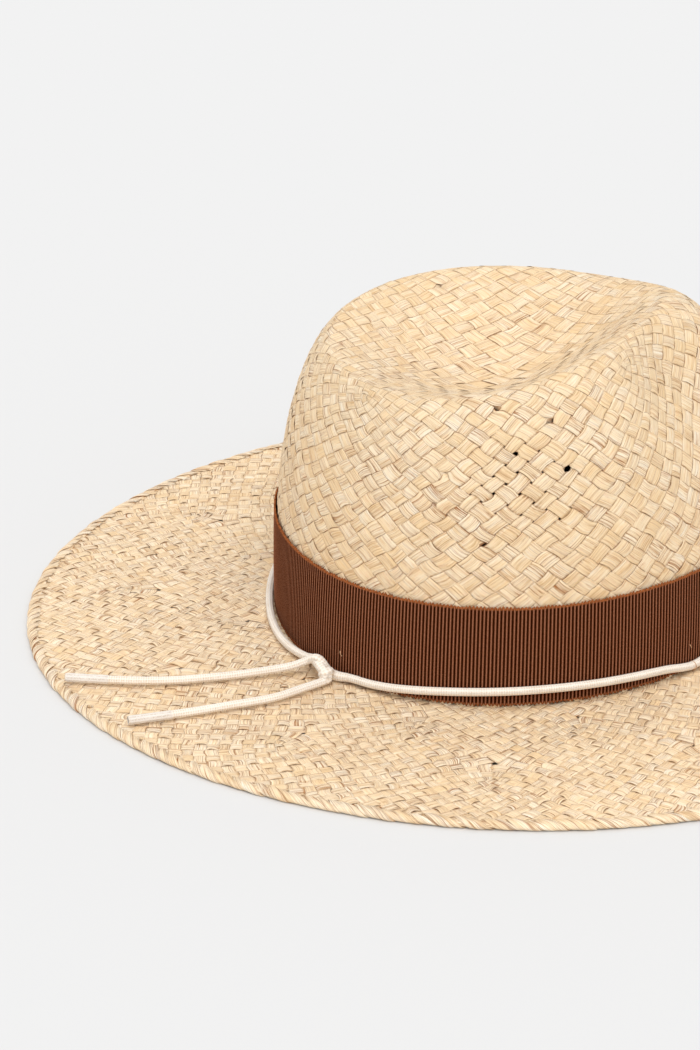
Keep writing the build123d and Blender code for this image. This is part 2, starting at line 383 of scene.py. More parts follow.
class Chart:
    # a flat map of a surface that keeps squares square on average:
    # a point at (along, angle) lies at radius(along) * exp(i angle), and
    # the logarithm of the radius grows by step / (girth / full turn)
    def __init__(self, surface, start, end, depth, inward, steepness):
        self.surface = surface
        self.depth = depth
        self.alongs = np.linspace(start, end, 900)
        a = np.linspace(0, fullTurn, 181)[:-1]
        grid = surface(self.alongs[:, None] + 0 * a, a + 0 * self.alongs[:, None])
        girth = np.linalg.norm(np.roll(grid, -1, 1) - grid, axis=-1).sum(1)
        step = np.linalg.norm(np.diff(grid, axis=0), axis=-1).mean(1)
        mean = (girth[1:] + girth[:-1]) / 2
        growth = running(step * fullTurn / mean) * steepness
        self.logs = -growth if inward else growth

    def alongAt(self, place):
        order = np.argsort(self.logs)
        size = np.log(np.maximum(np.abs(place), 1e-6))
        return np.interp(size, self.logs[order], self.alongs[order])

    def surfacePoint(self, place):
        return self.surface(self.alongAt(place), np.angle(place))

    def lay(self, place, height):
        # points at a height above the middle of the straw
        nudge = 0.004
        here = self.surfacePoint(place)
        dx = self.surfacePoint(place + nudge) - self.surfacePoint(place - nudge)
        dy = self.surfacePoint(place + 1j * nudge) - self.surfacePoint(place - 1j * nudge)
        normal = unit(np.cross(dy, dx))
        return here + normal * (height - self.depth)[..., None]


# weaving

def nearestRoot(fourth, previous):
    # the fourth root that lies nearest to the previous one
    root = fourth ** 0.25
    turns = np.round(np.angle(previous / root) / (halfTurn / 2))
    return root * 1j ** turns


def traceStrands(field, rim, hub, joint, setup):
    # The two families of strands are the lines on which the real or the imaginary part of
    # a lattice coordinate is whole. field gives the fourth power of the coordinate's slope,
    # rim and hub the outer and inner radius, joint the place of one irregular mesh of the weave.
    # Each strand is a list of places, slopes and of the phase that says over or under.
    x = np.linspace(1, 0, 4001)[:-1]
    start = rim * np.exp(1j * np.angle(joint))
    path = joint + (start - joint) * x ** 4
    slopes = np.abs(field(path)) ** 0.25 * np.exp(0.25j * np.unwrap(np.angle(field(path))))
    middle = (path[1:] + path[:-1]) / 2
    middleSlope = nearestRoot(field(middle), (slopes[1:] + slopes[:-1]) / 2)
    startValue = 0.5 + 0.5j - np.sum(middleSlope * np.diff(path))
    turnAngles = np.angle(joint) + np.linspace(0, fullTurn, 30001)
    loop = rim * np.exp(1j * turnAngles)
    fourth = field(loop)
    phase = np.unwrap(np.angle(fourth))
    phase += 4 * np.angle(slopes[0]) - phase[0]
    loopSlope = np.abs(fourth) ** 0.25 * np.exp(0.25j * phase)
    steps = (loopSlope[1:] + loopSlope[:-1]) / 2 * np.diff(loop)
    value = startValue + running(steps)
    begins = []
    for part, sense in ((value.real, 1j), (value.imag, 1)):
        whole = np.floor(part)
        hit = np.nonzero(whole[1:] != whole[:-1])[0]
        target = np.maximum(whole[1:], whole[:-1])[hit]
        share = (target - part[hit]) / (part[hit + 1] - part[hit])
        z = loop[hit] + (loop[hit + 1] - loop[hit]) * share
        g = loopSlope[hit]
        direction = np.where((np.conj(z) * sense / g).real < 0, sense, -sense)
        begins.append((z, value[hit] + (value[hit + 1] - value[hit]) * share, direction, g))
    z, value, head, g = (np.concatenate(k) for k in zip(*begins))
    step = 1 / setup["samples"]
    places, gains = [z], [g]
    for _ in range(setup["longest"] * setup["samples"]):
        g1 = nearestRoot(field(z), g)
        g2 = nearestRoot(field(z + head * step / 2 / g1), g1)
        g3 = nearestRoot(field(z + head * step / 2 / g2), g2)
        g4 = nearestRoot(field(z + head * step / g3), g3)
        z = z + head * step / 6 * (1 / g1 + 2 / g2 + 2 / g3 + 1 / g4)
        g = nearestRoot(field(z), g4)
        places.append(z)
        gains.append(g)
    places, gains = np.array(places).T, np.array(gains).T
    outside = (np.abs(places) > rim * 1.0005) | (np.abs(places) < hub)
    outside[:, :2] = False
    ends = np.where(outside.any(1), outside.argmax(1), places.shape[1] - 1)
    strands = []
    for i, end in enumerate(ends):
        last = places[i, end]
        if abs(last) > rim:  # it came out again, so another strand is this one traced backwards
            gap = np.abs(np.angle(places[:, 0] / last))
            gap[i] = 9
            if np.argmin(gap) < i:
                continue
        t = np.arange(end + 1) * step
        moving = value[i] + head[i] * t
        count = moving.real + moving.imag
        crossing = np.cos(halfTurn * count)
        over = crossing if abs(head[i].imag) > 0.5 else -crossing
        strands.append((places[i, :end + 1], gains[i, :end + 1], over, count, head[i]))
    return strands


def crownField(setup):
    # Four irregular meshes sit on a ring. Outside it the strands climb as spirals, inside it
    # the weave is a square grid: slope ^ 4 = scale ^ 4 / (z ^ 4 - ring ^ 4).
    scale = (1 - 1j) * setup["strands"] / fullTurn
    return lambda z: scale ** 4 / (z ** 4 - (setup["ring"] * np.exp(1j * setup["turn"])) ** 4)


def brimField(setup):
    # Spirals of slope scale / z. On each ring twelve pairs of irregular meshes, one at the
    # inner and one at the outer radius, bring in new strands, so that the weave stays even.
    scale = (1 - 1j) * setup["strands"] / fullTurn

    def field(z):
        value = scale ** 4 / z ** 4
        for inner, outer, turn in setup["rings"]:
            spin = np.exp(12j * turn)
            value = value * (z ** 12 - inner ** 12 * spin) / (z ** 12 - outer ** 12 * spin)
        return value
    return field


# what both weaves share; each then changes what differs
weaveSetup = {
    "room": 6.0, "dome": 0.12, "domeVary": 0.5, "crease": 0.5, "creaseShift": 0.10,
    "under": 0.10, "edgeDrop": 0.02, "roundness": 0.35,
    "waveSpeeds": (0.6, 0.8, 2.3),  # of a strip's width, then of its course, per float
    "driftWaves": 7, "driftTurns": (7, 26), "driftClimb": 9,
    "holeTries": 3000, "holeLeast": 0.7, "holeVary": 0.6, "holeFade": 1.8, "holeNear": 1.5,
    "wornSpot": (0.0, 0.0, 0.0), "wornShare": 0.0, "wornSpread": 1.0, "wornNarrow": 0.0,
    "press": 0.0, "pressAlong": 0.0, "pressSpread": 1.0,
}


def drift(place, setup):
    # gentle unevenness of a hand weave: a few waves in angle and distance shift every strand
    random = np.random.default_rng(setup["seed"] + 100)
    angle, size = np.angle(place), np.log(np.abs(place) + 1e-3)
    shift = 0
    for _ in range(setup["driftWaves"]):
        turns = random.integers(*setup["driftTurns"])
        climb = random.normal() * setup["driftClimb"]
        phase = random.random() * fullTurn
        lean = random.random() * fullTurn
        shift = shift + np.sin(angle * turns + size * climb + phase) * np.exp(1j * lean)
    return place * np.exp(shift * setup["drift"])


def openHoles(place, centres, reaches, fade):
    # points near a hole move away from its middle:
    # distance + reach * exp(-(distance / reach / fade) ^ 2)
    for centre, reach in zip(centres, reaches):
        away = place - centre
        distance = np.abs(away) + 1e-9
        place = place + away / distance * reach * bell(distance / reach, fade)
    return place


def worn(chart, place, setup):
    # 1 at the worn spot, fading with the distance from it
    apart = np.linalg.norm(chart.surfacePoint(place) - np.array(setup["wornSpot"]), axis=-1)
    return bell(apart, setup["wornSpread"])


def holePlaces(chart, strands, setup):
    # small holes open at corners between four strips, mostly round one worn spot
    random = np.random.default_rng(setup["seed"] + 200)
    centres, reaches = [], []
    for index in random.integers(0, len(strands), setup["holeTries"]):
        place, slope, over, count, head = strands[index]
        row = random.integers(0, len(place))
        rest = (np.round(count[row]) - count[row]) * (head.real + head.imag)
        side = random.choice([0.5j, -0.5j])
        centres.append(place[row] + (0.5 + rest + side) * head / slope[row])
        size = setup["holeLeast"] + setup["holeVary"] * random.random()
        reaches.append(setup["holeSize"] * size / abs(slope[row]))
    centres, reaches = np.array(centres), np.array(reaches)
    chance = setup["holeShare"] + setup["wornShare"] * worn(chart, centres, setup)
    keep = random.random(len(centres)) < chance
    return centres[keep], reaches[keep]


# a strip's profile, from edge to edge over its face and back underneath
stripAcross = np.array([-0.5, -0.47, -0.25, 0.0, 0.25, 0.47, 0.5, 0.3, -0.3])
stripDome = np.array([0, 0.35, 1, 0, 1, 0.35, 0, 0, 0])
stripCrease = np.array([0, 0, 0, 1, 0, 0, 0, 0, 0])
stripUnder = np.array([0, 0, 0, 0, 0, 0, 0, 1, 1])
stripEdge = np.array([1, 0, 0, 0, 0, 0, 1, 0, 0])


def weave(name, chart, strands, setup, finish, parts, node):
    # Each strand is a closed strip. Its middle rises and sinks with the phase, its width is a
    # share of the room between its neighbours, and a shallow crease runs along it.
    random = np.random.default_rng(setup["seed"])
    faceCount = 0
    centres, reaches = holePlaces(chart, strands, setup)
    for number, group in enumerate(np.array_split(np.arange(len(strands)), parts)):
        strips = []
        first = 0
        for index in group:
            place, slope, over, count, head = strands[index]
            rows = len(place)
            if rows < 4:
                continue
            k = np.arange(rows) / setup["samples"]
            seed, shade = random.random(2)
            wave = random.random((3, 2)) * fullTurn
            spot = np.round(count).astype(int)
            spot = spot - spot.min()
            change = random.random((spot.max() + 1, 6))[spot] * 2 - 1
            near = np.cos(halfTurn * (count - np.round(count)))
            swelling, slow, quick = (
                np.sin(k * speed + phase)
                for speed, phase in zip(setup["waveSpeeds"], (wave[0, 0], wave[1, 0], wave[1, 1])))
            width = setup["width"] * (1 + setup["widthVary"] * (2 * random.random() - 1)
                                      + setup["widthDrift"] * swelling
                                      + setup["floatVary"] * change[:, 4] * near)
            width = width - setup["wornNarrow"] * worn(chart, place, setup)
            wander = setup["wander"] * (slow + quick) + setup["floatShift"] * change[:, 5] * near
            soft = setup["roundness"]
            square = over / np.sqrt(over ** 2 + soft) * np.sqrt(1 + soft)
            lift = setup["rise"] * square * (1 + setup["riseVary"] * change[:, 0] * near)
            tilt = setup["tilt"] * change[:, 1] * near ** 2
            dome = setup["dome"] * (1 + setup["domeVary"] * change[:, 2] * near)
            atCrest = bell(chart.alongAt(place) - setup["pressAlong"], setup["pressSpread"])
            pressed = 1 - setup["press"] * atCrest
            lift, tilt, dome = lift * pressed, tilt * pressed, dome * pressed
            spread = stripAcross + setup["creaseShift"] * np.sin(wave[2, 0]) * stripCrease
            offset = spread[None, :] * width[:, None] + wander[:, None]
            z = place[:, None] + offset * (head / 1j / slope)[:, None]
            reach = np.abs(setup["holeNear"] / slope).max()
            close = np.abs(centres[:, None] - place[None, :]).min(1) < reach
            z = openHoles(z, centres[close], reaches[close], setup["holeFade"])
            z = drift(z, setup)
            height = (lift[:, None] + tilt[:, None] * stripAcross * 2 + dome[:, None] * stripDome
                      + (dome * (1 - setup["crease"]))[:, None] * stripCrease
                      - setup["under"] * stripUnder - setup["edgeDrop"] * stripEdge)
            length = runLength(chart.surfacePoint(place))
            strips.append((chart.lay(z, height).reshape(-1, 3),
                           tubeFaces(rows, len(stripAcross)) + first,
                           triples(length[:, None], spread * setup["room"], seed * 100),
                           # the weave's tone shift moves every strip's tone: paler on the brim as
                           # painted light, darker on the crown as painted shade
                           triples(shade + setup["paintedLightShift"], (change[:, 3:4] + 1) / 2,
                                   (over[:, None] + 1) / 2 + 0 * offset)))
            first += rows * len(stripAcross)
        points, faces, lay, tone = (np.concatenate(k) for k in zip(*strips))
        makePiece(f"{name}_{number + 1}", points, faces, finish, node, lay, tone)
        faceCount += len(faces)
    print("stage:", name, faceCount, "faces")


# cords: free tails first, then the ring and the knot

cordSetup = {
    "diameter": 3.2, "around": 20, "step": 0.55, "knotSwell": 0.28,
    "loose": 2.6, "looseAngle": -375.0, "looseSpread": 17.0,
    "tipSleeve": 17.5, "tipDiameter": 3.5, "tipRounding": 0.28, "tipEnd": 0.5,
    "bandSpace": 0.15, "bandThick": 0.6, "gap": 0.15,
    "wrapMiddle": (-58.2, 86.3, 7.9), "wrapAxis": (-0.474, -0.470, -0.739),
    "wrapReach": 1.5, "wrapPitch": 1.3,
}

# middle of the cord, from the knot to the bare end
upperTailRoute = [
    (-53.0, 88.6, 9.4), (-49.8, 98.4, 7.9), (-48.7, 113.6, 6.2), (-48.9, 129.0, 5.8),
    (-47.9, 146.5, 5.6), (-43.6, 166.0, 5.5), (-37.5, 185.0, 5.55),
]
lowerTailRoute = [
    (-57.0, 86.8, 8.7), (-64.6, 94.6, 6.7), (-69.6, 108.5, 6.0), (-71.2, 125.0, 5.7),
    (-73.8, 145.5, 5.5), (-75.1, 166.0, 5.45),
]
# angle and height of the ring's middle round the ribbon, from knot to knot
ringRoute = [
    (-38, 6.6), (-43, 6.7), (-49, 7.7), (-56, 9.2), (-63, 10.4), (-70, 11.1),
    (-77, 11.5), (-84, 11.7), (-91, 11.5), (-98, 11.1), (-105, 10.5), (-110, 9.9),
    (-114, 9.0), (-117.5, 7.4), (-121, 6.3), (-124.5, 6.9), (-129, 8.3), (-135, 9.5),
    (-142, 10.3), (-150, 10.7), (-158, 11.0), (-166, 10.8), (-174, 11.1), (-182, 10.7),
    (-190, 10.9), (-198, 10.5), (-206, 10.4), (-214, 9.9), (-222, 9.4), (-229, 8.5),
    (-235, 7.2), (-239, 6.3), (-243, 7.0), (-248, 8.6), (-255, 10.0), (-262, 10.9),
    (-270, 11.2), (-278, 11.3), (-286, 10.8), (-294, 10.1), (-302, 9.0), (-309, 7.8),
    (-317, 6.8), (-325, 6.2), (-333, 6.0), (-341, 5.9), (-349, 6.0), (-357, 5.9),
    (-364, 6.0), (-371, 5.9), (-377, 6.1), (-382, 6.6), (-386.5, 7.6),
]


def splineLine(route):
    # the smooth line of a route: a NURBS curve with the route's points as its control points
    curve = bpy.data.curves.new("routeLine", "CURVE")
    curve.dimensions = "3D"
    curve.resolution_u = 40
    spline = curve.splines.new("NURBS")
    spline.points.add(len(route) - 1)
    flat = np.concatenate([np.asarray(route, float), np.ones((len(route), 1))], 1)
    spline.points.foreach_set("co", flat.ravel())
    spline.order_u = 3
    spline.use_endpoint_u = True
    holder = bpy.data.objects.new("routeLine", curve)
    line = bpy.data.meshes.new_from_object(holder)
    places = np.zeros(len(line.vertices) * 3)
    line.vertices.foreach_get("co", places)
    bpy.data.objects.remove(holder)
    bpy.data.meshes.remove(line)
    return places.reshape(-1, 3)


def evenLine(places, step):
    # the same line with its points a fixed step apart
    length = runLength(places)
    count = max(int(round(length[-1] / step)), 2)
    wanted = np.linspace(0, length[-1], count + 1)
    return np.stack([np.interp(wanted, length, places[:, i]) for i in range(3)], -1), wanted


def braidFinish(name, colour, shade, pitch):
    # a fine round braid: two sets of yarns cross on a diamond grid round the cord
    finish = Finish(name, Roughness=0.85)
    length, turn, _ = finish.attribute("lay")
    circleX, circleY, _ = finish.attribute("tone")
    phase = turn * (fullTurn * 4)
    run = length * (fullTurn / pitch)
    braid = finish.math("SINE", run + phase) * finish.math("SINE", run - phase)
    fuzz = finish.noise((length * 2.2, circleX * 5, circleY * 5), detail=4, roughness=0.7)
    soft = finish.noise((length * 0.12, circleX * 0.6, circleY * 0.6))
    depth = braid * 0.14 + fuzz * 0.66 + soft * 0.22
    finish.set("Base Color", finish.ramp(depth, (0.26, shade), (0.50, colour), (0.8, colour)))
    finish.bump(braid * 0.5 + fuzz * 0.8, 0.6, 0.0004)
    return finish


cordFinish = braidFinish("cottonCord", tint(248, 239, 227), tint(222, 202, 178), 1.9)
tipFinish = braidFinish("whippedTip", tint(246, 239, 230), tint(206, 188, 170), 0.8)


def cordTube(name, line, node, diameter=cordSetup["diameter"], finish=cordFinish,
             ends=0.0, swell=0.0):
    # a round profile carried along a line, thinner at its ends and swollen at its middle
    middle, length = evenLine(line, cordSetup["step"])
    along = unit(np.gradient(middle, axis=0))
    side = unit(np.cross(along, np.array([0.0, 0.0, 1.0])))
    turn = fullCircle(cordSetup["around"])
    toEnd = np.minimum(length, length[-1] - length)
    radius = diameter / 2 * (1 - ends * bell(toEnd, cordSetup["tipEnd"])
                             + swell * np.sin(halfTurn * length / length[-1]))
    points = roundThread(middle, side, np.cross(side, along), turn[:, None], radius[:, None, None])
    lay = triples(length[:, None], turn / fullTurn, 0.0)
    tone = triples(np.cos(turn), np.sin(turn), 0 * length[:, None])
    faces = tubeFaces(len(middle), len(turn))
    return makePiece(name, points, faces, finish, node, lay, tone)


# the two ends of the ring cross at the knot, partly through each other, and become the tails
knotRight = [
    (-58.6, 80.7, 6.4), (-56.6, 82.8, 6.2), (-55.5, 84.6, 6.9), (-55.0, 86.3, 9.1),
    (-54.6, 87.5, 11.5), (-53.5, 89.0, 12.7), (-52.0, 90.5, 11.9), (-51.1, 92.0, 10.9),
]
knotLeft = [
    (-46.2, 91.7, 9.6), (-50.3, 89.9, 10.8), (-53.8, 88.9, 11.2), (-56.6, 87.9, 10.1),
    (-58.6, 87.0, 8.9), (-59.3, 85.6, 7.6), (-59.8, 85.7, 6.5), (-60.4, 87.8, 6.1),
    (-61.7, 90.6, 6.1), (-63.1, 93.9, 6.1), (-64.2, 96.7, 6.1),
]


def ringLine():
    # the ring's points stand off the wall by ribbon and cord, and further where it hangs loose
    angles = np.radians([a for a, _ in ringRoute])
    heights = np.array([z for _, z in ringRoute])
    stand = (cordSetup["bandSpace"] + cordSetup["bandThick"] + cordSetup["diameter"] / 2
             + cordSetup["gap"])
    slack = bell(np.degrees(angles) - cordSetup["looseAngle"], cordSetup["looseSpread"])
    stand = stand + cordSetup["loose"] * slack
    return headPoint(angles, wallOffset(heights) + stand, heights)


def wholeCord():
    # one cord from bare end to bare end, and the rows of its line where its pieces meet
    ringPlaces = ringLine()
    route = np.concatenate([upperTailRoute[:0:-1], knotRight[::-1], ringPlaces, knotLeft,
                            lowerTailRoute[2:]])
    line, _ = evenLine(splineLine(route), 0.25)
    half = len(line) // 2
    cuts = [nearestRow(line[:half], place) for place in (knotRight[-1], ringPlaces[0])]
    cuts += [half + nearestRow(line[half:], place) for place in (knotLeft[0], knotLeft[-4])]
    return line, cuts


def knotWrap():
    # one turn of the cord drawn tight round the knot:
    # middle + axis * pitch * turn + reach * (cos, sin) of the turn
    axis = unit(np.array(cordSetup["wrapAxis"]))
    side = unit(np.cross(axis, (0, 0, 1)))
    up = np.cross(side, axis)
    turn = np.linspace(-0.1, 1.15, 80)[:, None]
    circle = np.cos(turn * fullTurn) * side + np.sin(turn * fullTurn) * up
    return (np.array(cordSetup["wrapMiddle"]) + axis * cordSetup["wrapPitch"] * (turn - 0.5)
            + cordSetup["wrapReach"] * circle)


def cordPieces():
    line, (one, two, three, four) = wholeCord()
    for name, path, node, tipNode, length in (
            ("upperTail", line[:one + 1][::-1], "cord_tail_upper", "tail_tip_upper", 0.0985),
            ("lowerTail", line[four:], "cord_tail_lower", "tail_tip_lower", 0.0834)):
        piece = cordTube(name, path, node)
        places, run = evenLine(path, 0.3)
        sleeve = places[run >= run[-1] - cordSetup["tipSleeve"]]
        tip = cordTube(name + "Tip", sleeve, tipNode, cordSetup["tipDiameter"], tipFinish,
                       cordSetup["tipRounding"])
    swell = cordSetup["knotSwell"]
    cordTube("cordKnot", line[one:two + 1], "cord_knot", swell=swell)
    cordTube("cordKnotWrap", knotWrap(), "cord_knot", swell=swell)
    cordTube("trimCord", line[two:three + 1], "trim_cord")
    cordTube("cordKnotTurn", line[three:four + 1], "cord_knot", swell=swell)


cordPieces()
print("stage: cord")


# straw

def strawFinish(name, shade):
    # Fibres run along each strip. Cream and peach tones drift along it, thin brown lines mark
    # where its folded fibres part, and painted shade darkens it a little where it dives under the
    # next.
    finish = Finish(name, Roughness=0.6)
    length, across, seed = finish.attribute("lay")
    strip, spot, over = finish.attribute("tone")
    fibre = finish.noise((length * 0.08, across * 2.4, seed), detail=5, roughness=0.65)
    broad = finish.noise((length * 0.10, across * 0.35, seed * 3), detail=3, roughness=0.6)
    speck = finish.noise((length * 0.30, across * 0.8, seed * 5), detail=3, roughness=0.7)
    value = strip * 0.09 + spot * 0.07 + fibre * 0.5 + broad * 0.47
    colour = finish.ramp(value, (0.36, tint(226, 188, 138)), (0.47, tint(247, 217, 172)),
                         (0.58, tint(253, 231, 196)), (0.74, tint(255, 246, 226)))
    peach = finish.rising(speck, 0.52, 0.72)
    colour = finish.mix(peach * 0.45, colour, tint(248, 204, 168))
    golden = finish.rising(broad * 0.7 + spot * 0.45, 0.66, 0.80)
    colour = finish.mix(golden * 0.42, colour, tint(236, 188, 112))
    # painted shade: the strip's colour darkens where it dives under the crossing strip
    diveShade = finish.falling(over + (speck - 0.5) * 0.6, 0.34, 0.60)
    shown = finish.rising(speck * 0.5 + strip * 0.4 + diveShade * 0.25, 0.30, 0.62)
    lines = 0.0
    for stretch, density, weight, share in ((0.018, 0.70, 0.034, shown), (0.022, 1.5, 0.05, 0.55)):
        place = (length * stretch, across * density, seed * 2 + density * 9)
        gap = finish.math("ABSOLUTE", finish.noise(place, detail=1) - 0.5)
        lines = finish.falling(gap, 0.0, weight) * share + lines
    colour = finish.mix(lines * 0.88, colour, tint(166, 104, 46))
    # mix in the painted shade where the strip dives under the next
    colour = finish.mix(diveShade * 0.36, colour, tint(186, 132, 72))
    # a broken dark brown line along each strip's side edges: partly the strip's own edge, partly
    # painted contact shade
    rim = finish.rising(finish.math("ABSOLUTE", across) * 0.1, 0.262, 0.29)
    broken = finish.rising(speck, 0.38, 0.54)
    colour = finish.mix(rim * broken * 0.85, colour, tint(132, 76, 24))
    # shade multiplies the whole colour; below 1 it is painted shade
    finish.set("Base Color", finish.mix(1.0, colour, level(shade), "MULTIPLY"))
    finish.set("Roughness", fibre * 0.3 + 0.5)
    finish.bump(fibre - lines * 0.35, 0.8, 0.0005)
    return finish


# the crown's copy of the straw is multiplied by 0.93 as painted shade, darker than the brim's
brimStraw = strawFinish("brimStraw", 1.0)
shadedCrownStraw = strawFinish("shadedCrownStraw", 0.93)

crownWeaveSetup = {
    **weaveSetup, "strands": 60, "ring": 0.20, "turn": np.radians(-30.0), "seed": 3,
    "samples": 6, "longest": 150, "steepness": 1.16, "drift": 0.0035,
    "width": 1.025, "widthVary": 0.06, "widthDrift": 0.04, "floatVary": 0.11, "wander": 0.015,
    # the crown's tone shift below 0 is painted shade
    "floatShift": 0.06, "rise": 0.22, "riseVary": 0.5, "tilt": 0.16, "paintedLightShift": -0.2,
    "holeSize": 0.155, "holeShare": 0.003, "wornSpot": (-72.0, 14.0, 90.0), "wornShare": 0.10,
    "wornSpread": 24.0, "wornNarrow": 0.18, "press": 0.55, "pressAlong": 2.2, "pressSpread": 0.35,
}
crownChart = Chart(crownSurface, 0.0, 2.999, 0.9, True, crownWeaveSetup["steepness"])
crownJoint = crownWeaveSetup["ring"] * np.exp(1j * crownWeaveSetup["turn"])
crownStrands = traceStrands(crownField(crownWeaveSetup), 1.0, 0.0, crownJoint, crownWeaveSetup)
weave("crownWeave", crownChart, crownStrands, crownWeaveSetup, shadedCrownStraw, 4, "straw_crown")

brimWeaveSetup = {
    **weaveSetup, "strands": 168, "seed": 5, "samples": 5, "longest": 120,
    "rings": [(1.16052, 1.24082, 0.0), (1.52420, 1.65172, halfTurn / 12)],
    "steepness": 1.0, "drift": 0.0022,
    "width": 1.03, "widthVary": 0.08, "widthDrift": 0.08, "floatVary": 0.19, "wander": 0.04,
    # the brim's tone shift above 0 is painted light
    "floatShift": 0.11, "rise": 0.20, "riseVary": 0.8, "tilt": 0.26, "paintedLightShift": 0.1,
    "holeSize": 0.15, "holeShare": 0.014,
}
brimChart = Chart(brimSurface, -0.03, 1.02, 0.8, False, brimWeaveSetup["steepness"])
brimReach = float(np.exp(brimChart.logs[-1]))
_, outerRing, ringTurn = brimWeaveSetup["rings"][1]
brimJoint = outerRing * np.exp(1j * ringTurn)
brimStrands = traceStrands(brimField(brimWeaveSetup), brimReach, 1.0, brimJoint, brimWeaveSetup)
weave("brimWeave", brimChart, brimStrands, brimWeaveSetup, brimStraw, 5, "straw_brim")


# plaited edge: flat strips wrapped slantwise over the rim, round a straw core

plait = {
    "wraps": 236, "advance": 2.0, "rows": 17, "seed": 7, "width": 1.32, "widthVary": 0.4,
    "shift": 0.5, "lift": 0.30, "pairLift": 0.35, "liftVary": 0.9, "slant": 0.22,
    "reach": 0.90, "reachVary": 0.22, "coreInset": 0.6, "coreHalfHeight": 1.1,
}
# the path of a strip over the rim, as (out from the brim's edge, height), from below to above
edgePath = np.array([(-3.6, 0.55), (-2.4, 0.40), (-1.2, 0.55), (-0.55, 1.2), (-0.65, 2.1),
                     (-1.4, 2.75), (-2.4, 2.95), (-3.6, 2.90), (-4.8, 2.70), (-6.0, 2.20)])


def edgeFrame(a, t, lift):
    # a point above the strip's path, at right angles to it
    knots = np.linspace(0, 1, len(edgePath))
    fine = np.linspace(0, 1, 200)
    path = np.stack([np.interp(fine, knots, edgePath[:, i]) for i in range(2)], -1)
    kernel = np.hanning(31) / np.hanning(31).sum()
    padded = np.pad(path, ((15, 15), (0, 0)), mode="reflect", reflect_type="odd")
    path = np.stack([np.convolve(padded[:, i], kernel, "valid") for i in range(2)], -1)
    along = unit(np.gradient(path, axis=0))
    normal = np.stack([along[:, 1], -along[:, 0]], -1)
    out, z = [np.interp(t, fine, path[:, i]) + lift * np.interp(t, fine, normal[:, i])
              for i in range(2)]
    return rimPoint(a, out, z)


def plaitedEdge():
    # every strip goes over the rim while it advances along it; each second one lies higher
    random = np.random.default_rng(plait["seed"])
    wraps, rows = plait["wraps"], plait["rows"]
    spacing = fullTurn / wraps
    t = np.linspace(0, 1, rows)[None, :, None]
    across = np.array([-0.5, -0.46, -0.2, 0.15, 0.44, 0.5, 0.3, -0.3])
    top = np.array([0, 0.7, 1, 1, 0.7, 0, -0.4, -0.4])
    jitter = random.random((5, wraps, 1, 1)) - 0.5
    base = np.arange(wraps)[:, None, None] * spacing
    taper = np.sin(halfTurn * np.clip(t, 0.08, 0.90)) ** 0.4
    width = spacing * plait["width"] * (1 + plait["widthVary"] * jitter[0]) * taper
    a = (base + spacing * (plait["shift"] * jitter[1] + plait["advance"] * (t - 0.5))
         + across * width)
    pair = 1 + plait["pairLift"] * (-1.0) ** np.arange(wraps)[:, None, None]
    lift = (plait["lift"] * top * taper * pair * (1 + plait["liftVary"] * jitter[3])
            - plait["slant"] * across + 0 * a)
    reach = np.clip(t * (plait["reach"] + plait["reachVary"] * jitter[4]) + 0 * a, 0, 1)
    points = edgeFrame(a, reach, lift)
    points[..., 2] = np.maximum(points[..., 2], 0.02)  # just clear of the table
    faces = copiedFaces(tubeFaces(rows, len(across)), wraps, rows * len(across))
    seed = random.random((wraps, 1, 1))
    lay = triples(t * 14, across * 5.6 + 0 * a, seed * 100)
    tone = triples(seed + 0.4, seed[::-1], 0.9 + 0 * a)
    makePiece("plaitedEdge", points, faces, brimStraw, "brim_edge_plait", lay, tone)


plaitedEdge()


def girthAlong(points):
    # how far round the hat each row of a closed grid lies
    around = np.roll(points[:, 0], -1, 0) - points[:, 0]
    return np.linalg.norm(around, axis=-1).cumsum()[:, None]


def closedProfile(name, placePoint, outs, heights, count, finish, slot, node):
    # a closed profile of (out, height) points carried round the hat
    points = placePoint(fullCircle(count)[:, None], np.array(outs), np.array(heights))
    lay = triples(girthAlong(points), points[..., 2], 0.0)
    faces = gridFaces(count, len(outs), True, True)
    return makePiece(name, points, faces, finish, node, lay, np.full(lay.shape, 0.55))


def standingBand(name, outer, thick, foot, top, *rest):
    # a thin upright band inside the crown
    inner = outer - thick
    outs, heights = [inner, inner, outer, outer], [foot, top, top, foot]
    return closedProfile(name, headPoint, outs, heights, *rest)


coreTurn = fullCircle(12)
coreHalf = hat["plaitWidth"] / 2
closedProfile("edgeCore", rimPoint,
              -coreHalf + (coreHalf - plait["coreInset"]) * np.cos(coreTurn),
              hat["plaitThick"] / 2 + plait["coreHalfHeight"] * np.sin(coreTurn),
              360, brimStraw, "straw", "brim_edge_plait")
print("stage: plaited edge")

# inside: straw turned up where crown and brim are sewn together, and the sweatband

insideSetup = {
    "gap": 0.15, "collarThick": 1.6, "collarFoot": 2.6, "collarTop": 16.0,
    "bandThick": 0.8, "bandFoot": 2.4, "bandTop": 34.4,
}
collarOut = -(hat["strawThick"] + insideSetup["gap"])
standingBand("brimCollar", collarOut, insideSetup["collarThick"], insideSetup["collarFoot"],
             insideSetup["collarTop"], 240, brimStraw, "straw", "straw_brim")

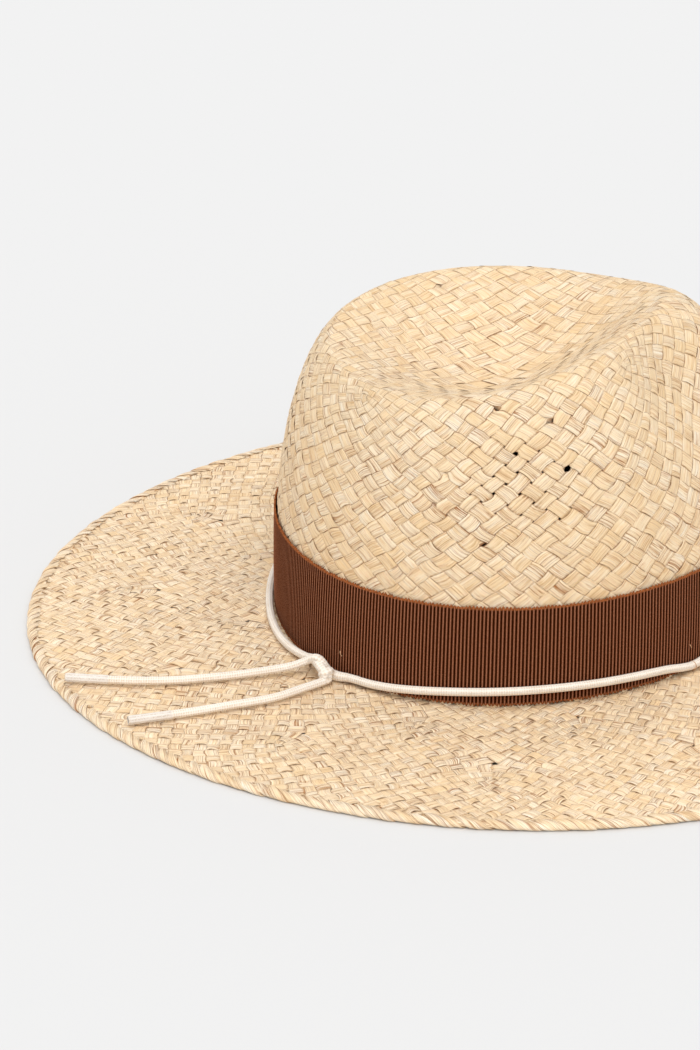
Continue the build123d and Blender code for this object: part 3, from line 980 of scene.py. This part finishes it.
bandFinish = Finish("sweatbandCotton", Roughness=0.9)
bandX, bandY, _ = bandFinish.attribute("lay")
bandWeave = bandFinish.noise((bandX * 1.5, bandY * 1.5, 0.0), detail=3)
bandFinish.set("Base Color", bandFinish.ramp(bandWeave, (0.3, tint(206, 186, 156)),
                                             (0.7, tint(230, 214, 188))))
bandFinish.bump(bandWeave, 0.4, 0.0003)
bandOuter = collarOut - insideSetup["collarThick"] - insideSetup["gap"]
sweatband = standingBand("sweatbandCloth", bandOuter, insideSetup["bandThick"],
                         insideSetup["bandFoot"], insideSetup["bandTop"],
                         300, bandFinish, "sweatband", "sweatband")
print("stage: sweatband")

# grosgrain ribbon

ribbonSetup = {
    "low": 4.4, "height": 41.0, "ribs": 424, "perRib": 6, "ribRise": 0.34,
    "foundation": 0.36, "picot": 0.8, "seed": 11,
}


def ribbonPiece():
    # ribs stand across the ribbon: outside = wall + foundation + rise * |cos(rib phase)|,
    # and at both edges every rib ends in a small loop
    perRib = ribbonSetup["perRib"]
    count = ribbonSetup["ribs"] * perRib
    rib = np.abs(np.cos(np.arange(count) / perRib * halfTurn))[:, None]
    uneven = np.random.default_rng(ribbonSetup["seed"]).random(ribbonSetup["ribs"])
    uneven = uneven.repeat(perRib)[:, None]
    rows = np.array([0, 0.012, 0.03, 0.35, 0.7, 0.97, 0.988, 1.0])
    up = ribbonSetup["low"] + ribbonSetup["height"] * rows
    z = np.concatenate([up, up[::-1]])
    edgeward = np.concatenate([rows * 2 - 1, (rows * 2 - 1)[::-1]])
    outer = np.concatenate([np.ones(len(rows)), np.zeros(len(rows))])
    rim = np.array([0.45, 1.15, 1, 1, 1, 1, 1.15, 0.45] * 2)
    out = (cordSetup["bandSpace"] + outer * ribbonSetup["foundation"] * rim
           + outer * ribbonSetup["ribRise"] * rib)
    selvedge = np.where(np.abs(edgeward) > 0.97, np.sign(edgeward), 0)
    height = z + ribbonSetup["picot"] * selvedge * (rib * (0.5 + uneven) - 0.6)
    points = headPoint(fullCircle(count)[:, None], wallOffset(z) + out, height)
    faces = gridFaces(count, len(z), True, True)[:, ::-1]
    lay = triples(girthAlong(points), height - ribbonSetup["low"], rib)
    tone = triples(edgeward, 0.0, 0 * height)
    return makePiece("grosgrainRibbon", points, faces, ribbonFinish,
                     "grosgrain_ribbon", lay, tone)


# the grosgrain has no specular; its sheen is painted into the colour below
ribbonFinish = Finish("brownGrosgrain", Roughness=1.0, Specular_IOR_Level=0.0)
ribX, ribZ, ribRise = ribbonFinish.attribute("lay")
ribEdge, _, _ = ribbonFinish.attribute("tone")
ribFuzz = ribbonFinish.noise((ribX * 2.2, ribZ * 1.8, 0.0), detail=4, roughness=0.75)
ribSpeck = ribbonFinish.noise((ribX * 1.6, ribZ * 2.2, 3.0), roughness=0.8)
# rib colour: fibre fuzz plus painted light from rib height, near-black painted shade in the
# valleys between ribs and a pale painted sheen on the rib crowns
ribFuzzAndShade = ribFuzz * 0.62 + ribbonFinish.rising(ribRise, 0.50, 1.0) * 0.42
ribColourAndShade = ribbonFinish.ramp(ribFuzzAndShade, (0.26, tint(12, 2, 0)), (0.50, tint(84, 38, 12)),
                              (0.82, tint(174, 120, 94)))
ribHair = ribbonFinish.rising(ribSpeck, 0.60, 0.72)
ribColourAndShade = ribbonFinish.mix(ribHair * 0.6, ribColourAndShade, tint(158, 102, 60))
ribEdgeMask = ribbonFinish.rising(ribbonFinish.math("ABSOLUTE", ribEdge), 0.95, 0.975)
ribPicot = ribbonFinish.ramp(ribFuzz, (0.35, tint(60, 26, 14)), (0.60, tint(178, 106, 62)))
ribbonFinish.set("Base Color", ribbonFinish.mix(ribEdgeMask, ribColourAndShade, ribPicot))
ribbonFinish.bump(ribFuzz, 0.6, 0.0003)
ribbon = ribbonPiece()
print("stage: ribbon")

# thread

threadFinish = Finish("sewingThread", Roughness=0.7)
threadPlace = threadFinish.node("TexCoord", output="Object")
threadTwist = threadFinish.noise(threadPlace, scale=2500, detail=1)
threadFinish.set("Base Color", threadFinish.ramp(threadTwist, (0.35, tint(176, 128, 92)),
                                                 (0.65, tint(214, 172, 134))))
threadFinish.bump(threadTwist, 0.5, 0.0002)
thread = {
    "radius": 0.17, "around": 6, "rows": 9, "dip": 0.45, "proud": 0.1,
    "seamCount": 44, "seamStitch": (5.0, 0.0), "crownSeamUp": 6, "bandSeamUp": 2,
    "tackAngles": (-34, -121, 121, 30), "tackHeight": 14.0, "tackStitch": (0.9, 1.9),
    "cordTacks": (-121, -239),
}
bandFace = cordSetup["bandSpace"] + cordSetup["bandThick"] + cordSetup["gap"]


def threadPiece(name, lines, reference, node):
    # round threads carried along many short lines at once
    rows, around = lines.shape[1], thread["around"]
    along = unit(np.gradient(lines, axis=1))
    side = unit(np.cross(along, reference))
    points = roundThread(lines, side, np.cross(side, along), fullCircle(around)[:, None],
                         thread["radius"])
    faces = copiedFaces(tubeFaces(rows, around), len(lines), rows * around)
    makePiece(name, points, faces, threadFinish, node)


def stitches(name, angles, out, height, stitch, node):
    # short arcs on the wall whose ends dip into it; a stitch has a width and a rise
    width, rise = stitch
    t = np.linspace(-1, 1, thread["rows"])[None, :]
    a = np.radians(np.asarray(angles, float))[:, None] + width / 2 * t / hat["headLength"]
    z = height + rise / 2 * t + 0 * a
    lines = headPoint(a, wallOffset(z) + out - thread["dip"] * t ** 4, z)
    threadPiece(name, lines, lines * [1, 1, 0], node)


def cordWraps():
    # one turn of thread round the cord at each of its tacks
    turn = np.linspace(0, fullTurn, 25)[None, :, None]
    angles = np.radians(np.array(thread["cordTacks"], float))
    heights = np.array([dict(ringRoute)[angle] for angle in thread["cordTacks"]])
    out = wallOffset(heights) + bandFace + cordSetup["diameter"] / 2
    middle, ahead = headPoint(angles, out, heights), headPoint(angles + 0.01, out, heights)
    along = unit(ahead - middle)[:, None]
    lifted = np.array([0.0, 0.0, 1.0])
    across = np.cross(along, lifted)
    reach = cordSetup["diameter"] / 2 + thread["radius"]
    return middle[:, None] + reach * (np.cos(turn) * across + np.sin(turn) * lifted), along


seamAngles = np.arange(thread["seamCount"]) * 360 / thread["seamCount"]
foot, proud = hat["breakHeight"], thread["proud"]
for row in (
        ("crownSeam", seamAngles, proud, foot + thread["crownSeamUp"],
         thread["seamStitch"], "crown_seam_thread"),
        ("bandSeam", seamAngles, bandOuter - insideSetup["bandThick"] - proud,
         foot + thread["bandSeamUp"], thread["seamStitch"], "sweatband_seam_thread"),
        ("ribbonTacks", thread["tackAngles"], bandFace + proud, thread["tackHeight"],
         thread["tackStitch"], "ribbon_tacks")):
    stitches(*row)
threadPiece("cordTacks", *cordWraps(), "cord_tacks")
print("stage: thread")

# floor, light and world

floorFinish = Finish("paperFloor", Base_Color=tint(216, 216, 216), Roughness=1.0,
                     Specular_IOR_Level=0.0)
floorMesh = bpy.data.meshes.new("paperFloor")
floorMesh.from_pydata([(-8, -8, 0), (8, -8, 0), (8, 8, 0), (-8, 8, 0)], [], [(0, 1, 2, 3)])
floorMesh.materials.append(floorFinish.material)
floor = addObject("paperFloor", floorMesh)

lightSetup = {"world": 0.85, "sun": 1.64, "sunSpread": 45.0, "sunFrom": (-0.60, 0.15, 1.0)}
lamp = bpy.data.lights.new("softKey", "SUN")
lamp.energy = lightSetup["sun"]
lamp.angle = np.radians(lightSetup["sunSpread"])
lampObject = addObject("softKey", lamp)
lampObject.rotation_euler = Vector(lightSetup["sunFrom"]).to_track_quat("Z", "Y").to_euler()
world = bpy.data.worlds.new("paleStudio")
world.use_nodes = True
background = world.node_tree.nodes["Background"]
background.inputs["Color"].default_value = (1, 1, 1, 1)
background.inputs["Strength"].default_value = lightSetup["world"]
bpy.context.scene.world = world
bpy.context.scene.view_settings.view_transform = "Standard"
